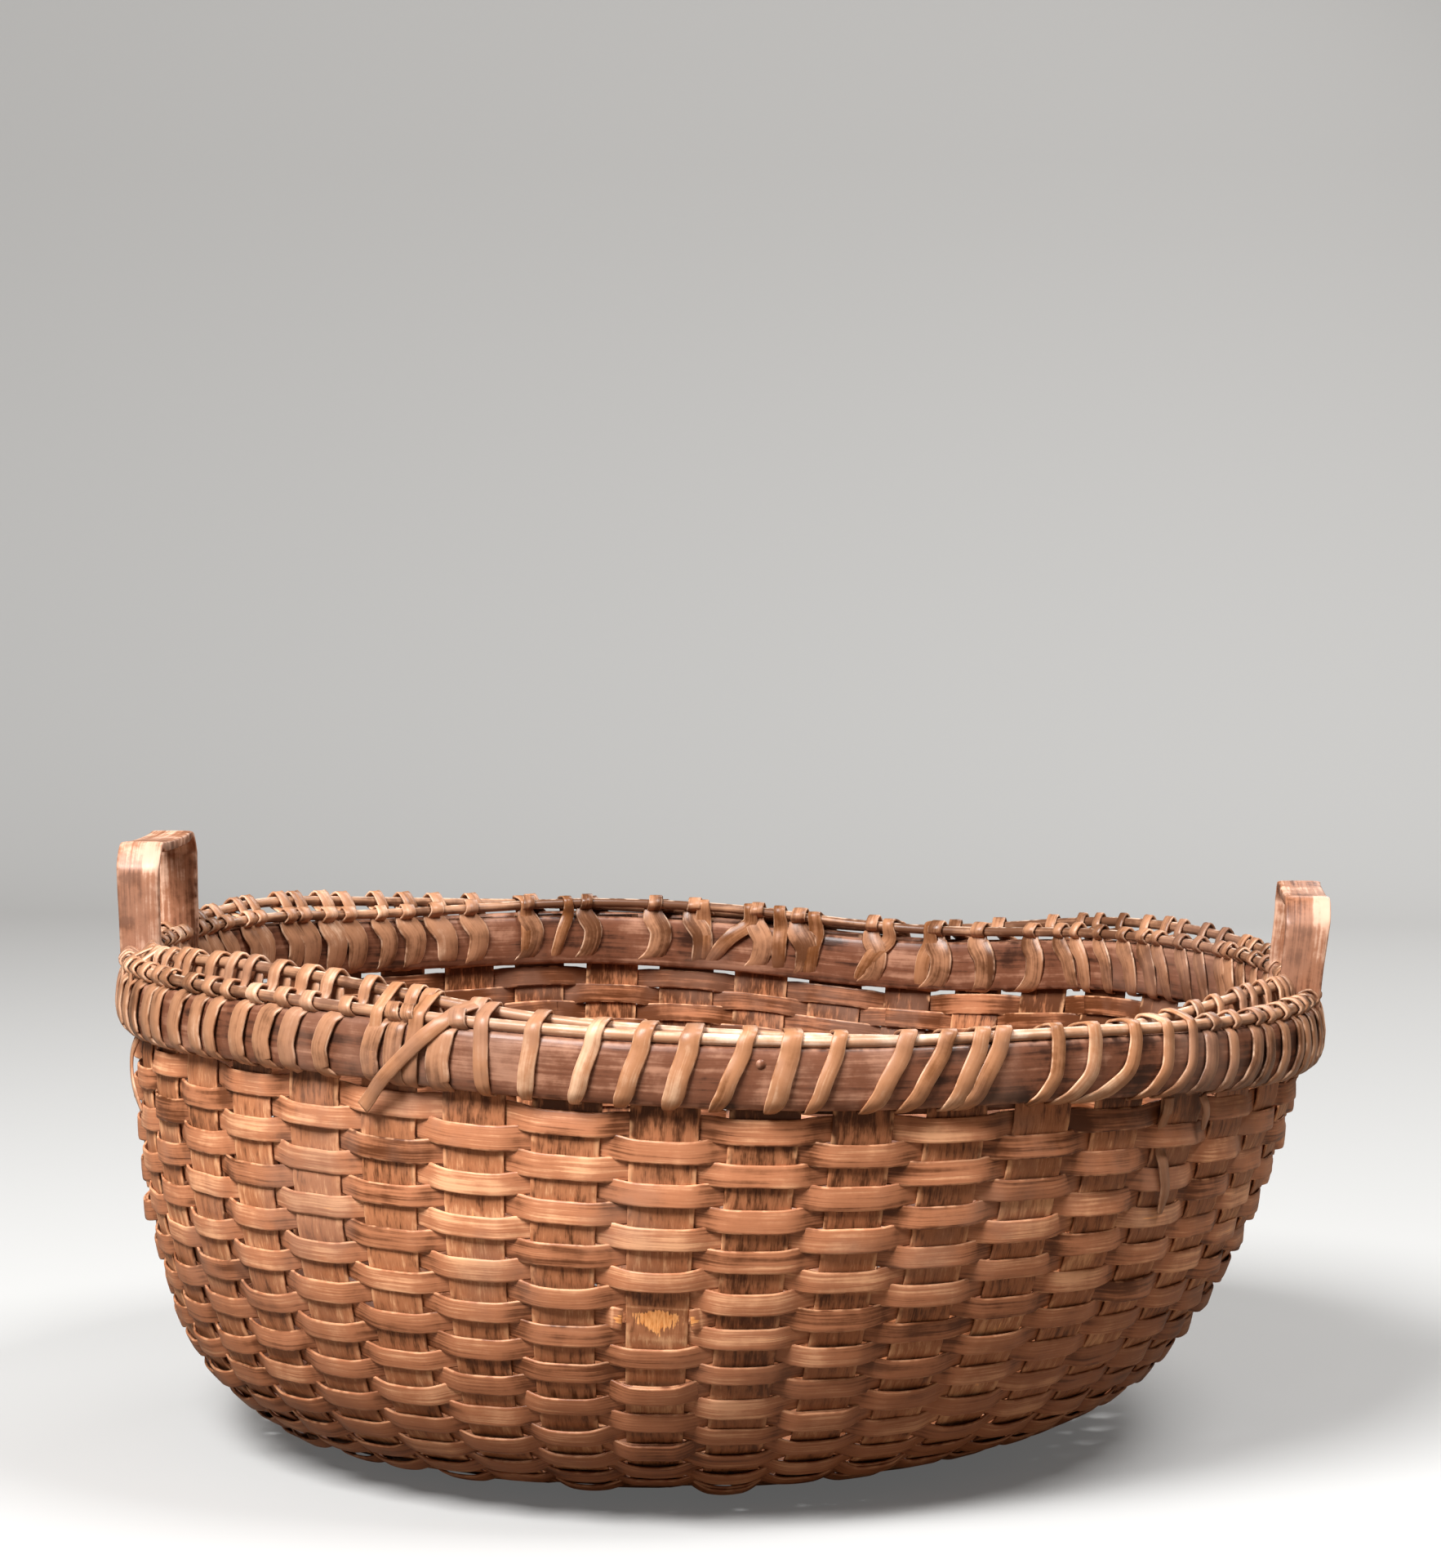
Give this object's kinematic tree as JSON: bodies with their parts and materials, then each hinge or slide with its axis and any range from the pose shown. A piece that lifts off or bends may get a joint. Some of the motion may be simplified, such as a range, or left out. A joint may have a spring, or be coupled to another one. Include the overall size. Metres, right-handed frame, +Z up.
{
  "type": "rattan basket",
  "caption": "Wide round open basket of split cane: plaited base, woven bulging wall, lashed double-hoop rim and a fixed strap handle at each end.",
  "frame": {"origin": "on the ground, under the middle of the round rim", "axes": "+Z up, +X towards the right handle, -Y towards the side with the newer lashing"},
  "size_m": [0.4806, 0.4806, 0.2259],
  "materials": {
    "stake_splint": "split cane face with lengthwise fibres, worn satin",
    "weaver_splint": "thin split cane, aged, worn satin",
    "hoop_wood": "half-round cane hoop, dark with age, low sheen",
    "rim_rod": "thin round cane, dark with age",
    "handle_strap": "flat bent cane strap, rubbed pale at the folds",
    "old_lashing": "flat cane binding, aged brown",
    "new_lashing": "flat cane binding, paler and newer"
  },
  "bodies": {
    "root": {"stake_lengthwise_01": "stake_splint", "stake_lengthwise_02": "stake_splint", "stake_lengthwise_03": "stake_splint", "stake_lengthwise_04": "stake_splint", "stake_lengthwise_05": "stake_splint", "stake_lengthwise_06": "stake_splint", "stake_lengthwise_07": "stake_splint", "stake_lengthwise_08": "stake_splint", "stake_lengthwise_09": "stake_splint", "stake_lengthwise_10": "stake_splint", "stake_crosswise_01": "stake_splint", "stake_crosswise_02": "stake_splint", "stake_crosswise_03": "stake_splint", "stake_crosswise_04": "stake_splint", "stake_crosswise_05": "stake_splint", "stake_crosswise_06": "stake_splint", "stake_crosswise_07": "stake_splint", "stake_crosswise_08": "stake_splint", "stake_crosswise_09": "stake_splint", "stake_crosswise_10": "stake_splint", "stake_crosswise_11": "stake_splint", "weaver_01": "weaver_splint", "weaver_02": "weaver_splint", "weaver_03": "weaver_splint", "weaver_04": "weaver_splint", "weaver_05": "weaver_splint", "weaver_06": "weaver_splint", "weaver_07": "weaver_splint", "weaver_08": "weaver_splint", "weaver_09": "weaver_splint", "weaver_10": "weaver_splint", "weaver_11": "weaver_splint", "weaver_12": "weaver_splint", "weaver_13": "weaver_splint", "weaver_14": "weaver_splint", "weaver_15": "weaver_splint", "weaver_16": "weaver_splint", "weaver_17": "weaver_splint", "weaver_18": "weaver_splint", "weaver_19": "weaver_splint", "weaver_20": "weaver_splint", "weaver_21": "weaver_splint", "weaver_22": "weaver_splint", "weaver_23": "weaver_splint", "outer_hoop": "hoop_wood", "inner_hoop": "hoop_wood", "outer_rim_rod": "rim_rod", "inner_rim_rod": "rim_rod", "handle_right": "handle_strap", "handle_left": "handle_strap", "lashing_right": "old_lashing", "lashing_left": "old_lashing", "lashing_back": "old_lashing", "lashing_front": "new_lashing"}
  },
  "joints": []
}
